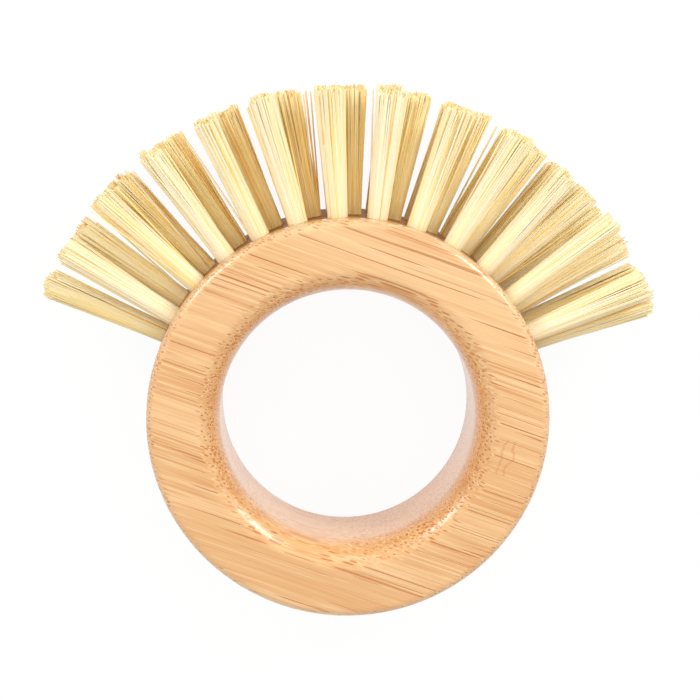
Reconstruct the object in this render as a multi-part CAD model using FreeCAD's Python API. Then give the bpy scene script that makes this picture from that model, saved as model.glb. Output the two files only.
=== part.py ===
import FreeCAD, Part
import math
import os

# Ring-shaped dish brush: a turned bamboo ring to hold, with three rows of bristle tufts in its outer wall.
# Sizes are in millimetres and degrees. The ring's axis is Z, the tufts fan out about +Y, and the origin
# is on the axis, halfway through the ring.

# Ring handle
ring_diameter = 90.0
ring_wall = 16.3  # from the bore out to the wall that the tufts stand in
ring_thickness = 30.0
mouth_round_width = 5.6  # the front mouth of the bore is an elliptical round, deeper than it is wide
mouth_round_depth = 8.0
back_lip_round = 1.5
outer_edge_round = 2.0

# Drilling pattern: front and rear rows line up, and the middle row sits in the spaces between their tufts
outer_row_count = 12
middle_row_count = 13
fan_middle = 90.0  # degrees from +X
tuft_pitch = 11.35
row_spacing = 7.5
row_turn = 1.4  # angle from the middle of the outer rows to the middle of the middle row

# Blind hole for one tuft
tuft_hole_diameter = 4.5
tuft_hole_depth = 10.0
drill_point_angle = 118.0

# Bristle tuft, tight in its hole and flared outside it
tuft_free_length = 28.5
tuft_tip_diameter = 7.0
bundle_clearance = 0.05

# Flat-wire anchor that the bristles are folded over
anchor_width = 2.0
anchor_thickness = 0.4
anchor_bite = 0.3  # how far each end goes into the wall of the hole
fold_thickness = 1.5  # bristles between the anchor and the floor of the hole

# Values that follow from the sizes above
ring_radius = ring_diameter / 2
finger_bore_diameter = ring_diameter - 2 * ring_wall
bore_radius = finger_bore_diameter / 2
face_height = ring_thickness / 2
hole_radius = tuft_hole_diameter / 2
hole_floor = ring_radius - tuft_hole_depth
bundle_radius = hole_radius - bundle_clearance
tip_radius = ring_radius + tuft_free_length

ORIGIN = FreeCAD.Vector(0, 0, 0)
ALONG_X = FreeCAD.Vector(1, 0, 0)
ALONG_Z = FreeCAD.Vector(0, 0, 1)


def line(start, end):
    return Part.LineSegment(start, end).toShape()


def quarter_round(start, corner, end):
    """Quarter of an ellipse that leaves start towards corner and arrives at end from corner."""
    curve = Part.BezierCurve()
    curve.setPoles([start, corner, end])
    curve.setWeight(2, math.sqrt(0.5))
    return curve.toShape()


def turned(edges, axis):
    """Solid turned about an axis through the origin from a closed outline."""
    return Part.Face(Part.Wire(edges)).revolve(ORIGIN, axis, 360)


def ring_blank():
    """The ring as it leaves the lathe, before drilling."""
    def at(radius, height):
        return FreeCAD.Vector(radius, 0, height)

    mouth_edge = at(bore_radius + mouth_round_width, face_height)
    mouth_corner = at(bore_radius, face_height)
    mouth_foot = at(bore_radius, face_height - mouth_round_depth)
    front_edge = at(ring_radius - outer_edge_round, face_height)
    front_corner = at(ring_radius, face_height)
    front_wall = at(ring_radius, face_height - outer_edge_round)
    back_wall = at(ring_radius, outer_edge_round - face_height)
    back_corner = at(ring_radius, -face_height)
    back_edge = at(ring_radius - outer_edge_round, -face_height)
    lip_edge = at(bore_radius + back_lip_round, -face_height)
    lip_corner = at(bore_radius, -face_height)
    lip_foot = at(bore_radius, back_lip_round - face_height)
    outline = [
        line(mouth_edge, front_edge),
        quarter_round(front_edge, front_corner, front_wall),
        line(front_wall, back_wall),
        quarter_round(back_wall, back_corner, back_edge),
        line(back_edge, lip_edge),
        quarter_round(lip_edge, lip_corner, lip_foot),
        line(lip_foot, mouth_foot),
        quarter_round(mouth_foot, mouth_corner, mouth_edge),
    ]
    return turned(outline, ALONG_Z)


# A tuft, its hole and its anchor are made along +X, pointing out of the ring, and then set in their row.

def tuft_hole():
    """Drilled space for a tuft: the bore, its drill point, and a run past the ring's wall."""
    point_depth = hole_radius / math.tan(math.radians(drill_point_angle / 2))
    point = FreeCAD.Vector(hole_floor - point_depth, 0, 0)
    floor_rim = FreeCAD.Vector(hole_floor, hole_radius, 0)
    mouth_rim = FreeCAD.Vector(ring_radius + hole_radius, hole_radius, 0)
    mouth_middle = FreeCAD.Vector(ring_radius + hole_radius, 0, 0)
    outline = [
        line(point, floor_rim),
        line(floor_rim, mouth_rim),
        line(mouth_rim, mouth_middle),
        line(mouth_middle, point),
    ]
    return turned(outline, ALONG_X)


def anchor():
    """Short piece of flat wire across the hole, on edge, with both ends in the wood."""
    length = tuft_hole_diameter + 2 * anchor_bite
    corner = FreeCAD.Vector(hole_floor + fold_thickness, -anchor_thickness / 2, -length / 2)
    return Part.makeBox(anchor_width, anchor_thickness, length, corner)


def tuft():
    """Bristle bundle: a rounded fold on the hole's floor, a tight shank, and a flare trimmed to a circle."""
    flare = (tuft_tip_diameter / 2 - bundle_radius) / tuft_free_length
    untrimmed_end = tip_radius + tuft_tip_diameter / 2
    untrimmed_radius = bundle_radius + flare * (untrimmed_end - ring_radius)
    fold_pole = FreeCAD.Vector(hole_floor, 0, 0)
    fold_corner = FreeCAD.Vector(hole_floor, bundle_radius, 0)
    shank_foot = FreeCAD.Vector(hole_floor + bundle_radius, bundle_radius, 0)
    hole_mouth = FreeCAD.Vector(ring_radius, bundle_radius, 0)
    end_rim = FreeCAD.Vector(untrimmed_end, untrimmed_radius, 0)
    end_middle = FreeCAD.Vector(untrimmed_end, 0, 0)
    outline = [
        quarter_round(fold_pole, fold_corner, shank_foot),
        line(shank_foot, hole_mouth),
        line(hole_mouth, end_rim),
        line(end_rim, end_middle),
        line(end_middle, fold_pole),
    ]
    trim_height = 2 * tuft_tip_diameter
    trim_circle = Part.makeCylinder(tip_radius, trim_height, FreeCAD.Vector(0, 0, -trim_height / 2))
    return turned(outline, ALONG_X).common(trim_circle).cut(anchor())


def set_in_row(shape, angle, height):
    """Copy of a shape made along +X, turned to its place in the fan and lifted to its row."""
    placed = shape.copy()
    placed.rotate(ORIGIN, ALONG_Z, angle)
    placed.translate(FreeCAD.Vector(0, 0, height))
    return placed


def row_angles(count, middle):
    """Directions of the tufts in a row, from the +X end of the fan."""
    first = middle - tuft_pitch * (count - 1) / 2
    return [first + tuft_pitch * index for index in range(count)]


outer_row_angles = row_angles(outer_row_count, fan_middle - row_turn / 2)
middle_row_angles = row_angles(middle_row_count, fan_middle + row_turn / 2)
rows = [
    ("front", outer_row_angles, row_spacing),
    ("middle", middle_row_angles, 0),
    ("rear", outer_row_angles, -row_spacing),
]

os.makedirs("parts", exist_ok=True)
drilled_away = []
for row, angles, height in rows:
    holes = [set_in_row(tuft_hole(), angle, height) for angle in angles]
    anchors = [set_in_row(anchor(), angle, height) for angle in angles]
    drilled_away += holes + anchors
    Part.makeCompound(anchors).exportStep(f"parts/{row}_anchors.step")
    for number, angle in enumerate(angles, start=1):
        set_in_row(tuft(), angle, height).exportStep(f"parts/{row}_tuft_{number:02d}.step")

ring_blank().cut(drilled_away).exportStep("parts/ring_handle.step")
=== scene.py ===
import math
import random

import bpy
from mathutils import Matrix, Vector


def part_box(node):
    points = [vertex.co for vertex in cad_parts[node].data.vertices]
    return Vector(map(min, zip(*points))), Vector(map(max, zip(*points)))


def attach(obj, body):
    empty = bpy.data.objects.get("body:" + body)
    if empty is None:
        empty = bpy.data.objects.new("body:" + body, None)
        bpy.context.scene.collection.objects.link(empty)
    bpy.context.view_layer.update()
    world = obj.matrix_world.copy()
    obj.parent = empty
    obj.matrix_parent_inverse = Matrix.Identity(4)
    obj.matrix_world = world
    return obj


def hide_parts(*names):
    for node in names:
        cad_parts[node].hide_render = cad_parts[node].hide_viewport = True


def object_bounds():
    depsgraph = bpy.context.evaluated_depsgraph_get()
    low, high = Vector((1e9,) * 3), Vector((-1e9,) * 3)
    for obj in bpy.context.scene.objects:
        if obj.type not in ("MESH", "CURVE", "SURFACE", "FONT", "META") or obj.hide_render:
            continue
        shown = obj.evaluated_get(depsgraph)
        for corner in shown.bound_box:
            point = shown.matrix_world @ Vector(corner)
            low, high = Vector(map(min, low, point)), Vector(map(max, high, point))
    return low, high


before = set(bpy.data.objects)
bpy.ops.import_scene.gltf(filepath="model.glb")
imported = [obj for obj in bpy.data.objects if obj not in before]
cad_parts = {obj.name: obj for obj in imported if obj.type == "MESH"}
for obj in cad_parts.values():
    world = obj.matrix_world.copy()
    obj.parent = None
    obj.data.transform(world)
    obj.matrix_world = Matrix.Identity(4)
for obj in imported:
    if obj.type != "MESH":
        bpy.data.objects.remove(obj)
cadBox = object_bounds()
scene = bpy.context.scene
mm = 0.001
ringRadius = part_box("ring_handle")[1].x
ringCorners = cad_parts["ring_handle"].data.vertices
boreRadius = min(math.hypot(corner.co.x, corner.co.y) for corner in ringCorners)
print("frame loaded:", len(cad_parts), "nodes")


def linear(hexColour):
    # sRGB hex to the linear colour that a socket takes
    channels = [int(hexColour[i:i + 2], 16) / 255 for i in (1, 3, 5)]
    return [c / 12.92 if c <= 0.04045 else ((c + 0.055) / 1.055) ** 2.4 for c in channels] + [1.0]


def addNode(tree, kind, inputs={}, **settings):
    # one node: its settings, then each input as a link from a socket or as a plain value
    node = tree.nodes.new("ShaderNode" + kind)
    for name, value in settings.items():
        setattr(node, name, value)
    for name, value in inputs.items():
        if isinstance(value, bpy.types.NodeSocket):
            tree.links.new(value, node.inputs[name])
        else:
            node.inputs[name].default_value = value
    return node


def newMaterial(name):
    material = bpy.data.materials.new(name)
    material.use_nodes = True
    material.node_tree.nodes.clear()
    return material, material.node_tree


def whiteRays(tree):
    # 1 for the rays that see a white surround, from the camera and off gloss, and 0 for the others
    path = addNode(tree, "LightPath")
    return addNode(tree, "Math", {0: path.outputs["Is Camera Ray"], 1: path.outputs["Is Glossy Ray"]},
                   operation="MAXIMUM")


def dress(node, material):
    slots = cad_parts[node].data.materials
    slots.clear()
    slots.append(material)


# Camera: a long lens nearly square on to the front face, a little towards the fan and to the left
cameraSettings = {
    "lens": 106.43,          # mm
    "sensorWidth": 36.0,
    "distance": 474.2 * mm,  # from the middle of the ring, along the view
    "aside": -0.768 * mm,
    "below": -13.571 * mm,
    "tilt": 9.339,           # degrees
    "pan": 1.846,
    "turn": -1.9,            # how far the brush lies turned on the floor
}


def makeCamera(s):
    data = bpy.data.cameras.new("camera")
    data.lens = s["lens"]
    data.sensor_width = s["sensorWidth"]
    camera = bpy.data.objects.new("camera", data)
    scene.collection.objects.link(camera)
    toCamera = (
        Matrix.Translation((s["aside"], s["below"], -s["distance"]))
        @ Matrix.Rotation(math.radians(s["pan"]), 4, "Y")
        @ Matrix.Rotation(math.radians(s["tilt"]), 4, "X")
        @ Matrix.Rotation(math.radians(s["turn"]), 4, "Z")
    )
    camera.matrix_world = toCamera.inverted()
    scene.camera = camera


makeCamera(cameraSettings)
print("camera set")


# Light: a white tent all round, brighter overhead, and three softboxes beyond the fan
lightSettings = {
    "tentSide": 0.45,
    "tentTop": 1.70,
    "tentFocus": 5.0,     # how closely the brighter part keeps to the top
    "softboxSize": 0.23,  # m
    "softboxDistance": 0.70,
    # degrees round the ring's axis, degrees above the floor, and watts
    "softboxes": {"right": (42, 25, 2.2), "middle": (92, 32, 0.25), "left": (142, 25, 1.75)},
}


def makeLight(s):
    world = bpy.data.worlds.new("white tent")
    world.use_nodes = True
    tree = world.node_tree
    tree.nodes.clear()
    place = addNode(tree, "TexCoord")
    rise = addNode(tree, "SeparateXYZ", {0: place.outputs["Generated"]})
    rise = addNode(tree, "Math", {0: rise.outputs[2], 1: s["tentFocus"]}, operation="POWER")
    glow = addNode(tree, "MapRange", {
        "Value": rise.outputs[0], "To Min": s["tentSide"], "To Max": s["tentTop"],
    })
    strength = addNode(tree, "MapRange", {
        "Value": whiteRays(tree).outputs[0], "To Min": glow.outputs[0], "To Max": 1.0,
    })
    tent = addNode(tree, "Background", {"Color": linear("#FFFFFF"), "Strength": strength.outputs[0]})
    addNode(tree, "OutputWorld", {"Surface": tent.outputs[0]})
    scene.world = world
    for side, (azimuth, height, power) in s["softboxes"].items():
        data = bpy.data.lights.new("softbox " + side, "AREA")
        data.shape = "SQUARE"
        data.size = s["softboxSize"]
        data.energy = power
        lamp = bpy.data.objects.new("softbox " + side, data)
        scene.collection.objects.link(lamp)
        across, up = math.radians(azimuth), math.radians(height)
        towards = Vector((math.cos(across) * math.cos(up), math.sin(across) * math.cos(up), math.sin(up)))
        lamp.location = towards * s["softboxDistance"]
        lamp.rotation_euler = towards.to_track_quat("Z", "Y").to_euler()


makeLight(lightSettings)
scene.view_settings.view_transform = "Standard"
print("light set")


# Floor: a sheet of white paper under the brush
floorSettings = {
    "side": 3.0,    # m
    "glow": 0.925,  # share of white that it shows in the deepest shadow
}


def matteWhitePaper(s):
    # smooth uncoated card: no gloss, white to the eye, and it still takes the brush's shadow
    material, tree = newMaterial("matte white paper")
    lit = addNode(tree, "BsdfDiffuse", {"Color": linear("#F4F4F2")})
    shade = addNode(tree, "BsdfDiffuse", {"Color": linear("#505050")})
    glow = addNode(tree, "Emission", {"Color": linear("#FFFFFF"), "Strength": s["glow"]})
    white = addNode(tree, "AddShader", {0: shade.outputs[0], 1: glow.outputs[0]})
    look = addNode(tree, "MixShader", {
        0: whiteRays(tree).outputs[0], 1: lit.outputs[0], 2: white.outputs[0],
    })
    addNode(tree, "OutputMaterial", {"Surface": look.outputs[0]})
    return material


def makeFloor(s):
    bpy.ops.object.select_all(action="DESELECT")
    bpy.ops.mesh.primitive_plane_add(size=s["side"], location=(0, 0, cadBox[0].z))
    floor = bpy.context.object
    floor.name = "floor"
    floor.data.materials.append(matteWhitePaper(s))


makeFloor(floorSettings)
print("floor laid")


# Ring: strips of bamboo glued edge to edge, four plies deep, turned, sanded and lacquered
bambooSettings = {
    "fibreTurn": 17.8,    # degrees from the fibres to X
    "stripWidth": 8.15,   # mm
    "plyThickness": 7.6,
    "plies": 4,
    "bundleSpacing": 0.80,
    "bundleGirth": 0.18,  # radius, as a share of the spacing
    "crowdGirth": 0.20,   # more where they crowd
    "endGirth": 0.14,     # and more where they are cut across
    "driftAcross": 0.5,   # mm, how far they wander across the strip
    "driftDeep": 2.4,     # and through its depth
    # noise drawn out along the fibres: length and width in mm, detail, and whether each strip has its own
    "noise": {
        "drift": (60, 4, 1, True),
        "lines": (24, 0.55, 2, True),
        "fine": (16, 0.30, 3, False),
        "slow": (45, 2.4, 2, True),
        "wave": (4, 2.6, 3, False),
    },
    "noiseApart": 40.0,   # from strip to strip, at most
    # strips of the front ply, lowest first: tone, streaks, and 1 where the dense side is low
    "strips": [
        (0.55, 0.60, 1), (0.15, 0.12, 1), (0.55, 0.80, 1), (0.30, 0.85, 0),
        (0.70, 0.40, 1), (0.05, 0.50, 0), (0.50, 0.35, 0), (0.65, 0.35, 1),
        (0.60, 0.95, 0), (0.65, 0.80, 0), (0.95, 0.35, 0), (0.30, 0.75, 1),
    ],
    "lowestStrip": -6,    # counted from the ring's middle
    "stripsMoved": 5,     # from one ply to the next
    "markedStrip": 6,     # counted from the lowest
    "markAt": 36.0,       # mm along the fibres
    "markHalfGap": 1.1,
    "markWave": 2.6,
    # band of the paler outer edge, partly sanded wood and partly painted sheen
    "paleEdgeAndSheen": (1.9, 0.8),    # mm inside the outer wall
    # the band of outer wall among the tufts that is bare of lacquer and carries painted shade in brown
    "bareAndShadedWall": (0.3, 0.05),
    "bareAndShadedBelow": (4.0, 6.0),    # mm below the front face
    "bareAndShadedFrom": (0.0, 6.0),     # mm from the ring's middle towards the fan
    "filledBore": (0.2, 2.3),   # mm outside the bore's wall
    "colours": {
        "deep honey": "#E0A463",
        "pale honey": "#F0C185",
        "cut fibre": "#C78D4D",
        "fine fibre": "#D49753",
        "pale fibre": "#FDD8A0",
        "streak": "#C87416",
        # paler sanded edge with a painted sheen
        "pale edge and sheen": "#F2DABA",
        # painted shade on the wall among the tufts
        "paintedShadeAmongTufts": "#7B471E",
    },
}


def lacqueredBamboo(s):
    # edge-glued bamboo under thin satin lacquer: pale honey strips, brown fibre bundles that show as long
    # streaks along the grain and as dots across it, denser towards the outer side of each strip
    material, tree = newMaterial("lacquered bamboo, turned and sanded")
    turn = math.radians(s["fibreTurn"])
    place = addNode(tree, "TexCoord")
    grain = addNode(tree, "Mapping", {
        "Vector": place.outputs["Object"], "Scale": (1 / mm, 1 / mm, 1 / mm), "Rotation": (0, 0, turn),
    })
    axes = addNode(tree, "SeparateXYZ", {0: grain.outputs[0]})

    # which strip and ply a point is in, and how far across them
    stripAt = addNode(tree, "Math", {0: axes.outputs[1], 1: s["stripWidth"]}, operation="DIVIDE")
    strip = addNode(tree, "Math", {0: stripAt.outputs[0]}, operation="FLOOR")
    stripShare = addNode(tree, "Math", {0: stripAt.outputs[0]}, operation="FRACT")
    plyAt = addNode(tree, "Math", {0: axes.outputs[2], 1: 1 / s["plyThickness"], 2: s["plies"] / 2},
                    operation="MULTIPLY_ADD")
    ply = addNode(tree, "Math", {0: plyAt.outputs[0]}, operation="FLOOR")

    # the strips' own looks, moved along from one ply to the next
    count = len(s["strips"])
    frontShift = 0.5 - s["lowestStrip"] - s["stripsMoved"] * (s["plies"] - 1)
    slot = addNode(tree, "Math", {0: ply.outputs[0], 1: s["stripsMoved"], 2: strip.outputs[0]},
                   operation="MULTIPLY_ADD")
    slot = addNode(tree, "Math", {0: slot.outputs[0], 1: frontShift}, operation="ADD")
    slot = addNode(tree, "Math", {0: slot.outputs[0], 1: count}, operation="FLOORED_MODULO")
    slotShare = addNode(tree, "Math", {0: slot.outputs[0], 1: count}, operation="DIVIDE")
    ramp = addNode(tree, "ValToRGB", {0: slotShare.outputs[0]})
    ramp.color_ramp.interpolation = "CONSTANT"
    stops = ramp.color_ramp.elements
    while len(stops) < count:
        stops.new(0.5)
    for index, look in enumerate(s["strips"]):
        stops[index].position = index / count
        stops[index].color = (*look, 1)
    looks = addNode(tree, "SeparateColor", {0: ramp.outputs[0]})
    tone, streaks, denseLow = looks.outputs[0], looks.outputs[1], looks.outputs[2]
    dense = addNode(tree, "Math", {0: stripShare.outputs[0], 1: denseLow}, operation="SUBTRACT")
    dense = addNode(tree, "Math", {0: dense.outputs[0]}, operation="ABSOLUTE")
    crowd = addNode(tree, "Math", {0: dense.outputs[0], 1: streaks}, operation="MULTIPLY")
    stripKey = addNode(tree, "CombineXYZ", {0: strip.outputs[0], 1: ply.outputs[0]})
    chance = addNode(tree, "TexWhiteNoise", {"Vector": stripKey.outputs[0]}, noise_dimensions="2D")
    shift = addNode(tree, "VectorMath", {0: chance.outputs["Color"], 1: (s["noiseApart"],) * 3},
                    operation="MULTIPLY")
    noise = {}
    for name, (length, width, detail, ownToStrip) in s["noise"].items():
        at = addNode(tree, "VectorMath", {
            0: grain.outputs[0],
            1: (1 / length, 1 / width, 1 / width),
            2: shift.outputs[0] if ownToStrip else (0, 0, 0),
        }, operation="MULTIPLY_ADD")
        noise[name] = addNode(tree, "TexNoise", {"Vector": at.outputs[0], "Scale": 1.0, "Detail": detail})

    # how far a point's surface is cut across the fibres
    fibreWay = (math.cos(turn), -math.sin(turn), 0)
    across = addNode(tree, "VectorMath", {0: place.outputs["Normal"], 1: fibreWay}, operation="DOT_PRODUCT")
    across = addNode(tree, "Math", {0: across.outputs["Value"]}, operation="ABSOLUTE")
    endGrain = addNode(tree, "MapRange", {"Value": across.outputs[0], "From Min": 0.15, "From Max": 0.8},
                       interpolation_type="SMOOTHSTEP")

    # fibre bundles: one to a cell across the strip, drifting a little as they run along it
    drifted = addNode(tree, "VectorMath", {
        0: noise["drift"].outputs["Color"], 1: (0, s["driftAcross"], s["driftDeep"]), 2: grain.outputs[0],
    }, operation="MULTIPLY_ADD")
    drifted = addNode(tree, "VectorMath", {0: drifted.outputs[0], 1: shift.outputs[0]}, operation="ADD")
    drifted = addNode(tree, "SeparateXYZ", {0: drifted.outputs[0]})
    section = addNode(tree, "CombineXYZ", {0: drifted.outputs[1], 1: drifted.outputs[2]})
    bundles = addNode(tree, "TexVoronoi", {"Vector": section.outputs[0], "Scale": 1 / s["bundleSpacing"]},
                      voronoi_dimensions="2D")
    lot = addNode(tree, "SeparateColor", {0: bundles.outputs["Color"]})
    girth = addNode(tree, "Math", {0: crowd.outputs[0], 1: s["crowdGirth"], 2: s["bundleGirth"]},
                    operation="MULTIPLY_ADD")
    girth = addNode(tree, "Math", {0: endGrain.outputs[0], 1: s["endGirth"], 2: girth.outputs[0]},
                    operation="MULTIPLY_ADD")
    core = addNode(tree, "Math", {0: girth.outputs[0], 1: 0.55}, operation="MULTIPLY")
    dark = addNode(tree, "MapRange", {
        "Value": bundles.outputs["Distance"], "From Min": girth.outputs[0], "From Max": core.outputs[0],
    }, interpolation_type="SMOOTHSTEP")
    strength = addNode(tree, "Math", {0: lot.outputs[0], 1: 0.65, 2: 0.35}, operation="MULTIPLY_ADD")
    strength = addNode(tree, "Math", {0: endGrain.outputs[0], 1: 0.25, 2: strength.outputs[0]},
                       operation="MULTIPLY_ADD", use_clamp=True)
    dark = addNode(tree, "Math", {0: dark.outputs[0], 1: strength.outputs[0]}, operation="MULTIPLY")
    rim = addNode(tree, "Math", {0: girth.outputs[0], 1: 1.8}, operation="MULTIPLY")
    pale = addNode(tree, "MapRange", {
        "Value": bundles.outputs["Distance"], "From Min": rim.outputs[0], "From Max": girth.outputs[0],
        "To Max": 0.6,
    }, interpolation_type="SMOOTHSTEP")
    pale = addNode(tree, "Math", {0: pale.outputs[0], 1: lot.outputs[1]}, operation="MULTIPLY")

    # lines and fine fibres along the grain
    lineShare = addNode(tree, "Math", {0: streaks, 1: 0.42, 2: 0.08}, operation="MULTIPLY_ADD")
    darkLines = addNode(tree, "MapRange", {
        "Value": noise["lines"].outputs[0], "From Min": 0.54, "From Max": 0.68,
        "To Max": lineShare.outputs[0],
    })
    paleLines = addNode(tree, "MapRange", {
        "Value": noise["lines"].outputs[0], "From Min": 0.46, "From Max": 0.34,
        "To Max": lineShare.outputs[0],
    })
    fineLines = addNode(tree, "MapRange", {
        "Value": noise["fine"].outputs[0], "From Min": 0.35, "From Max": 0.70, "To Max": 0.30,
    })

    # the thin dark seam at a strip's edge, and the growth mark of a leaf: two ragged lines across a strip
    seam = addNode(tree, "MapRange", {"Value": stripShare.outputs[0], "From Min": 0.018, "From Max": 0.006,
                                      "To Max": 0.25})
    mark = addNode(tree, "Math", {0: noise["wave"].outputs[0], 1: s["markWave"], 2: axes.outputs[0]},
                   operation="MULTIPLY_ADD")
    markMiddle = s["markAt"] + s["markWave"] / 2
    mark = addNode(tree, "Math", {0: mark.outputs[0], 1: markMiddle}, operation="SUBTRACT")
    mark = addNode(tree, "Math", {0: mark.outputs[0]}, operation="ABSOLUTE")
    halfGap = addNode(tree, "Math", {
        0: noise["slow"].outputs[0], 1: s["markHalfGap"], 2: 0.5 * s["markHalfGap"],
    }, operation="MULTIPLY_ADD")
    mark = addNode(tree, "Math", {0: mark.outputs[0], 1: halfGap.outputs[0]}, operation="SUBTRACT")
    mark = addNode(tree, "Math", {0: mark.outputs[0]}, operation="ABSOLUTE")
    mark = addNode(tree, "MapRange", {
        "Value": mark.outputs[0], "From Min": 0.45, "From Max": 0.05, "To Max": 0.4,
    }, interpolation_type="SMOOTHSTEP")
    marked = addNode(tree, "Math", {0: slot.outputs[0], 1: s["markedStrip"] + 0.5, 2: 0.1},
                     operation="COMPARE")
    mark = addNode(tree, "Math", {0: mark.outputs[0], 1: marked.outputs[0]}, operation="MULTIPLY")

    # the outer edges are a little paler, partly sanded wood and partly a painted sheen, and among the tufts
    # the wall is bare of lacquer and darkened with painted shade in brown
    sides = addNode(tree, "SeparateXYZ", {0: place.outputs["Object"]})
    flat = addNode(tree, "CombineXYZ", {0: sides.outputs[0], 1: sides.outputs[1]})
    out = addNode(tree, "VectorMath", {0: flat.outputs[0]}, operation="LENGTH")
    # the edge mix: partly paler sanded wood, partly a painted sheen where the edge catches the lamps
    edge = addNode(tree, "MapRange", {
        "Value": out.outputs["Value"], "From Min": ringRadius - s["paleEdgeAndSheen"][0] * mm,
        "From Max": ringRadius - s["paleEdgeAndSheen"][1] * mm, "To Max": 0.12,
    })
    wall = addNode(tree, "MapRange", {
        "Value": out.outputs["Value"], "From Min": ringRadius - s["bareAndShadedWall"][0] * mm,
        "From Max": ringRadius - s["bareAndShadedWall"][1] * mm,
    })
    behind = addNode(tree, "MapRange", {
        "Value": sides.outputs[2], "From Min": cadBox[1].z - s["bareAndShadedBelow"][0] * mm,
        "From Max": cadBox[1].z - s["bareAndShadedBelow"][1] * mm,
    })
    fan = addNode(tree, "MapRange", {
        "Value": sides.outputs[1], "From Min": s["bareAndShadedFrom"][0] * mm, "From Max": s["bareAndShadedFrom"][1] * mm,
    })
    bareAndShaded = addNode(tree, "Math", {0: wall.outputs[0], 1: fan.outputs[0]}, operation="MULTIPLY")
    bareAndShaded = addNode(tree, "Math", {0: bareAndShaded.outputs[0], 1: behind.outputs[0]}, operation="MULTIPLY")
    # painted shade: the wall among the tufts darkened towards brown
    paintedShadeAmongTufts = addNode(tree, "Math", {0: bareAndShaded.outputs[0], 1: 0.7}, operation="MULTIPLY")

    # colour: the strip's honey tone with its slow changes, then each thing that lies over it, in turn
    toneNow = addNode(tree, "MapRange", {
        "Value": noise["slow"].outputs[0], "From Min": 0.3, "From Max": 0.7,
        "To Min": -0.35, "To Max": 0.35,
    })
    toneNow = addNode(tree, "Math", {0: toneNow.outputs[0], 1: tone}, operation="ADD", use_clamp=True)
    cut = addNode(tree, "Math", {0: endGrain.outputs[0], 1: 0.5}, operation="MULTIPLY")
    colours = {name: linear(hexColour) for name, hexColour in s["colours"].items()}
    wood = addNode(tree, "MixRGB", {
        "Fac": toneNow.outputs[0], "Color1": colours["deep honey"], "Color2": colours["pale honey"],
    })
    for share, name in (
        (cut, "cut fibre"),
        (pale, "pale fibre"),
        (fineLines, "fine fibre"),
        (paleLines, "pale fibre"),
        (darkLines, "streak"),
        (dark, "streak"),
        (seam, "streak"),
        (mark, "streak"),
        (edge, "pale edge and sheen"),
        (paintedShadeAmongTufts, "paintedShadeAmongTufts"),
    ):
        wood = addNode(tree, "MixRGB", {
            "Fac": share.outputs[0], "Color1": wood.outputs[0], "Color2": colours[name],
        })
    coat = addNode(tree, "MapRange", {"Value": bareAndShaded.outputs[0], "To Min": 1.0, "To Max": 0.0})
    shine = addNode(tree, "MapRange", {"Value": bareAndShaded.outputs[0], "To Min": 0.5, "To Max": 0.05})

    # relief: the bundles lie a hair below the softer wood, and in the bore the lacquer evens it out
    height = addNode(tree, "Math", {0: noise["fine"].outputs[0], 1: 0.35}, operation="MULTIPLY")
    height = addNode(tree, "Math", {0: height.outputs[0], 1: dark.outputs[0]}, operation="SUBTRACT")
    even = addNode(tree, "MapRange", {
        "Value": out.outputs["Value"], "From Min": boreRadius + s["filledBore"][0] * mm,
        "From Max": boreRadius + s["filledBore"][1] * mm, "To Min": 0.08, "To Max": 1.6,
    })
    relief = addNode(tree, "Bump", {
        "Height": height.outputs[0], "Distance": 0.05 * mm, "Strength": even.outputs[0],
    })
    rough = addNode(tree, "MapRange", {"Value": noise["fine"].outputs[0], "To Min": 0.40, "To Max": 0.56})
    shader = addNode(tree, "BsdfPrincipled", {
        "Base Color": wood.outputs[0],
        "Roughness": rough.outputs[0],
        "Normal": relief.outputs[0],
        "IOR": 1.5,
        "Specular IOR Level": shine.outputs[0],
        "Coat Normal": relief.outputs[0],
        "Coat Weight": coat.outputs[0],
        "Coat Roughness": 0.21,
        "Coat IOR": 1.55,
    })
    addNode(tree, "OutputMaterial", {"Surface": shader.outputs[0]})
    return material


def galvanisedWire():
    # drawn steel wire rolled flat, with a dull zinc skin: grey, softly shining, faintly mottled
    material, tree = newMaterial("galvanised steel wire, rolled flat")
    place = addNode(tree, "TexCoord")
    scale = addNode(tree, "Mapping", {"Vector": place.outputs["Object"], "Scale": (1 / mm, 1 / mm, 1 / mm)})
    mottle = addNode(tree, "TexNoise", {"Vector": scale.outputs[0], "Scale": 1 / 0.4, "Detail": 3.0})
    zinc = addNode(tree, "MixRGB", {"Fac": mottle.outputs[0], "Color1": linear("#A9ADAF"),
                                    "Color2": linear("#C9CCCC")})
    rough = addNode(tree, "MapRange", {"Value": mottle.outputs[0], "To Min": 0.30, "To Max": 0.50})
    shader = addNode(tree, "BsdfPrincipled", {"Base Color": zinc.outputs[0], "Roughness": rough.outputs[0],
                                              "Metallic": 1.0})
    addNode(tree, "OutputMaterial", {"Surface": shader.outputs[0]})
    return material


dress("ring_handle", lacqueredBamboo(bambooSettings))
wire = galvanisedWire()
for node in sorted(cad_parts):
    if node.endswith("_anchors"):
        dress(node, wire)
print("ring and anchors finished")


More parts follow.
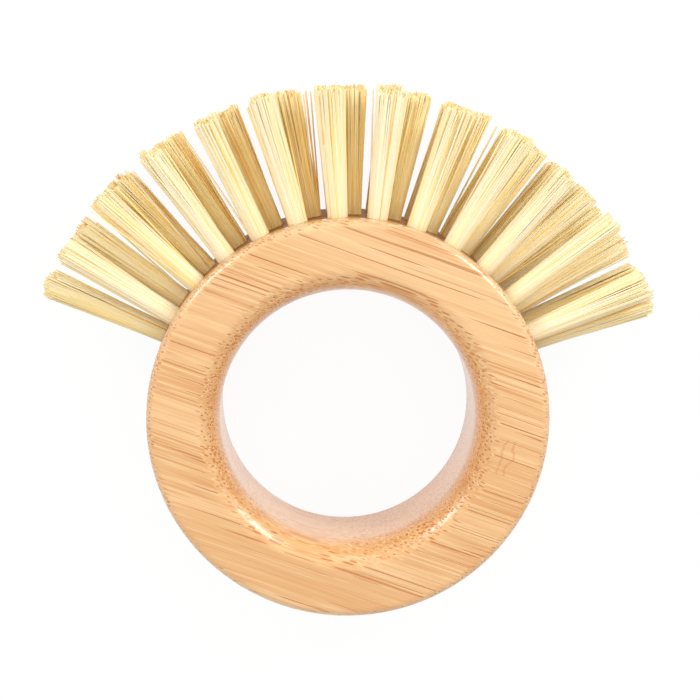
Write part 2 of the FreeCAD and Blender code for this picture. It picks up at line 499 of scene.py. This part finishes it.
# Tufts: stiff plant fibres, folded into the holes and cut to a circle
tuftSettings = {
    "seed": 11,
    # bristles in each layer of a tuft, from the outside in, and the layer's radius as a share of the tuft's
    "layers": ((64, 1.0), (58, 0.91), (40, 0.78), (22, 0.56), (8, 0.25)),
    "thickness": 0.47 * mm,
    "thicknessSpread": 0.2,    # share either way
    "sides": 5,
    "sections": 4,
    "tipShare": 0.85,          # thickness at the tip, as a share
    "bows": (0.0, 0.5, 1.0),   # sideways at the tip, in thicknesses
    "rootDepth": 3.0 * mm,     # how far down the hole the bristles start
    "rootSpread": 1.92 * mm,   # radius of the bundle in the hole
    "tipSpread": 2.70 * mm,    # and at the tips
    "clumps": 9,
    "clumpLean": 0.26 * mm,    # sideways at the tips
    "straying": 0.08 * mm,
    "strays": 0.025,           # share of the bristles that stand off the tuft
    "strayLean": 1.50 * mm,
    # tone of each tuft's fibres, from 0, golden, to 1, pale cream, and how far single fibres depart from
    # it; on the middle and rear rows the tone carries painted shade
    "tones": {
        "front": (0.85,) * 12,
        # the middle and rear rows are painted shade: more golden and darker behind the front row, most at
        # the top of the fan
        "middle": (0.80, 0.80, 0.76, 0.70, 0.58, 0.42, 0.34, 0.32, 0.36, 0.44, 0.55, 0.66, 0.74),
        "rear": (0.80, 0.80, 0.74, 0.65, 0.52, 0.42, 0.36, 0.36, 0.45, 0.56, 0.66, 0.74),
    },
    "toneSpread": 0.30,
    # painted golden shade deep inside each tuft, where the inner bristles lie in shade
    "innerPaintedShade": -0.70,        # in the very middle of a tuft
    "goldenShare": 0.12,       # share of the bristles that are more golden
    "goldenTone": -0.55,
    # how far each tuft leans sideways at its tip, in mm, and how wide it opens, from the +X end of the fan
    "leans": {
        "front": (-1.0, 0.3, 0.7, -0.5, 0.4, 0.9, 0.5, 1.2, 0.3, -0.7, -0.3, -0.4),
        "middle": (-0.7, -0.5, -1.1, -0.2, 0.1, 0.0, 0.6, 0.6, 1.1, 0.8, 0.3, -0.2, -0.5),
        "rear": (-0.8, 0.4, 0.5, -0.7, 0.2, 0.7, 0.6, 0.9, 0.1, -0.4, -0.2, -0.6),
    },
    "openings": {
        "front": (1.15, 0.85, 0.9, 0.85, 1.0, 1.15, 1.15, 1.1, 1.0, 0.85, 0.95, 1.0),
        "middle": (1.1, 0.95, 1.0, 0.9, 0.85, 1.0, 1.0, 0.9, 0.9, 0.95, 1.05, 1.0, 1.0),
        "rear": (1.0, 0.95, 1.1, 0.9, 1.0, 0.95, 1.05, 1.0, 0.9, 1.0, 1.05, 0.95),
    },
    "ragged": 0.75 * mm,       # uneven ends
    "clumpRagged": 0.50 * mm,
}


def plantFibre():
    # tampico, a stiff leaf fibre: straw cream, paler towards the cut tips, each fibre a little different,
    # and more golden where its tone carries painted shade
    material, tree = newMaterial("tampico fibre, combed and cut")
    fibre = addNode(tree, "Attribute", attribute_name="fibreTone")
    length = addNode(tree, "Attribute", attribute_name="fibreLength")
    place = addNode(tree, "TexCoord")
    scale = addNode(tree, "Mapping", {"Vector": place.outputs["Object"], "Scale": (1 / mm, 1 / mm, 1 / mm)})
    streak = addNode(tree, "TexNoise", {"Vector": scale.outputs[0], "Scale": 1 / 6, "Detail": 1.0})
    tone = addNode(tree, "MapRange", {"Value": streak.outputs[0], "From Min": 0.3, "From Max": 0.7,
                                      "To Min": -0.06, "To Max": 0.06})
    tone = addNode(tree, "Math", {0: tone.outputs[0], 1: fibre.outputs["Fac"]},
                   operation="ADD", use_clamp=True)
    colours = addNode(tree, "ValToRGB", {0: tone.outputs[0]})
    stops = colours.color_ramp.elements
    stops[0].color = linear("#EDB860")
    stops[1].color = linear("#F8ECCA")
    for at, colour in ((0.15, "#FFD684"), (0.4, "#FFE49A"), (0.62, "#FFEBB0"), (0.8, "#F9E6B8")):
        stops.new(at).color = linear(colour)
    tip = addNode(tree, "MapRange", {"Value": length.outputs["Fac"], "From Min": 0.75, "From Max": 1.0,
                                     "To Max": 0.3})
    colour = addNode(tree, "MixRGB", {"Fac": tip.outputs[0], "Color1": colours.outputs[0],
                                      "Color2": linear("#FBF0CA")})
    skin = addNode(tree, "BsdfPrincipled", {
        "Base Color": colour.outputs[0],
        "Roughness": 0.48,
        "IOR": 1.5,
        "Specular IOR Level": 0.35,
        "Sheen Weight": 0.15,
        "Sheen Roughness": 0.4,
        "Sheen Tint": linear("#FFF4D8"),
    })
    addNode(tree, "OutputMaterial", {"Surface": skin.outputs[0]})
    return material


def modelBristle(s, bow, material):
    # a bristle one unit long and one thick, drawn out from a small polygon section by section
    bpy.ops.object.select_all(action="DESELECT")
    bpy.ops.mesh.primitive_circle_add(vertices=s["sides"], radius=0.5, fill_type="NGON",
                                      rotation=(0, math.pi / 2, 0))
    bpy.ops.object.transform_apply(location=True, rotation=True, scale=True)
    bristle = bpy.context.object
    bpy.ops.object.mode_set(mode="EDIT")
    bpy.ops.mesh.select_all(action="SELECT")
    taper = s["tipShare"] ** (1 / s["sections"])
    for section in range(s["sections"]):
        before, after = section / s["sections"], (section + 1) / s["sections"]
        rise = bow * (after ** 2 - before ** 2)
        bpy.ops.mesh.extrude_region_move(TRANSFORM_OT_translate={"value": (after - before, 0, rise)})
        bpy.ops.transform.resize(value=(1, taper, taper))
    bpy.ops.mesh.select_all(action="SELECT")
    bpy.ops.mesh.normals_make_consistent(inside=False)
    bpy.ops.object.mode_set(mode="OBJECT")
    bpy.ops.object.shade_smooth_by_angle(angle=math.radians(80))
    mesh = bristle.data
    mesh.materials.append(material)
    mesh.attributes.new("fibreTone", "FLOAT", "POINT")
    lengths = mesh.attributes.new("fibreLength", "FLOAT", "POINT")
    lengths.data.foreach_set("value", [corner.co.x for corner in mesh.vertices])
    return bristle


def tuftPlace(node):
    # direction of a tuft round the ring's axis, and its height, from the middle of its CAD surface
    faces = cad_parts[node].data.polygons
    area = sum(face.area for face in faces)
    middle = sum((face.center * face.area for face in faces), Vector()) / area
    return math.atan2(middle.y, middle.x), middle.z


def plantTuft(s, node, patterns):
    chance = random.Random(f"{s['seed']} {node}")
    angle, height = tuftPlace(node)
    tuft = Matrix.Translation((0, 0, height)) @ Matrix.Rotation(angle, 4, "Z")
    tipRadius = max(math.hypot(corner.co.x, corner.co.y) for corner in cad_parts[node].data.vertices)
    row, _, number = node.split("_")
    spot = int(number) - 1
    lean = Vector((0, s["leans"][row][spot] * mm, 0))
    opening = s["tipSpread"] / s["rootSpread"] * s["openings"][row][spot]
    clumps = []
    for _ in range(s["clumps"]):
        way, far = chance.uniform(0, 2 * math.pi), s["rootSpread"] * math.sqrt(chance.random())
        clumps.append({
            "at": Vector((0, far * math.cos(way), far * math.sin(way))),
            "lean": Vector((0, chance.gauss(0, s["clumpLean"]), chance.gauss(0, s["clumpLean"]))),
            "cut": chance.gauss(0, s["clumpRagged"]),
        })
    bpy.ops.object.select_all(action="DESELECT")
    for count, share in s["layers"]:
        spin = chance.uniform(0, 2 * math.pi)
        for index in range(count):
            way = spin + 2 * math.pi * index / count
            root = Vector((0, math.cos(way), math.sin(way))) * share * s["rootSpread"]
            clump = min(clumps, key=lambda c: (c["at"] - root).length)
            tip = root * opening + lean + clump["lean"]
            stray = s["strayLean"] if chance.random() < s["strays"] else s["straying"]
            tip += Vector((0, chance.gauss(0, stray), chance.gauss(0, stray)))
            root.x = ringRadius - s["rootDepth"]
            trimmed = math.sqrt(tipRadius ** 2 - tip.y ** 2) + clump["cut"]
            tip.x = trimmed - abs(chance.gauss(0, s["ragged"]))
            reach = tip - root
            thick = s["thickness"] * (1 + chance.uniform(-1, 1) * s["thicknessSpread"])
            bristle = chance.choice(patterns).copy()
            bristle.data = bristle.data.copy()
            scene.collection.objects.link(bristle)
            bristle.matrix_world = (
                tuft
                @ Matrix.Translation(root)
                @ Vector((1, 0, 0)).rotation_difference(reach).to_matrix().to_4x4()
                @ Matrix.Rotation(chance.uniform(0, 2 * math.pi), 4, "X")
                @ Matrix.Diagonal((reach.length, thick, thick, 1))
            )
            # the row's tone, with painted shade on the middle and rear rows
            tone = s["tones"][row][spot] + chance.uniform(-1, 1) * s["toneSpread"]
            # painted shade: the inner layers of a tuft darker and more golden
            tone += s["innerPaintedShade"] * (1 - share)
            if chance.random() < s["goldenShare"]:
                tone += s["goldenTone"]
            tones = bristle.data.attributes["fibreTone"].data
            tones.foreach_set("value", [tone] * len(tones))
            bristle.select_set(True)
            bpy.context.view_layer.objects.active = bristle
    bpy.ops.object.join()
    bpy.ops.object.transform_apply(location=True, rotation=True, scale=True)
    piece = bpy.context.object
    piece.name = node.replace("_tuft_", "_bristles_")
    piece.data.name = piece.name
    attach(piece, "root")
    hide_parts(node)


fibre = plantFibre()
patterns = [modelBristle(tuftSettings, bow, fibre) for bow in tuftSettings["bows"]]
tuftNodes = [node for node in sorted(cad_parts) if "_tuft_" in node]
for node in tuftNodes:
    plantTuft(tuftSettings, node, patterns)
for pattern in patterns:
    bpy.data.objects.remove(pattern)
print("tufts planted:", len(tuftNodes))
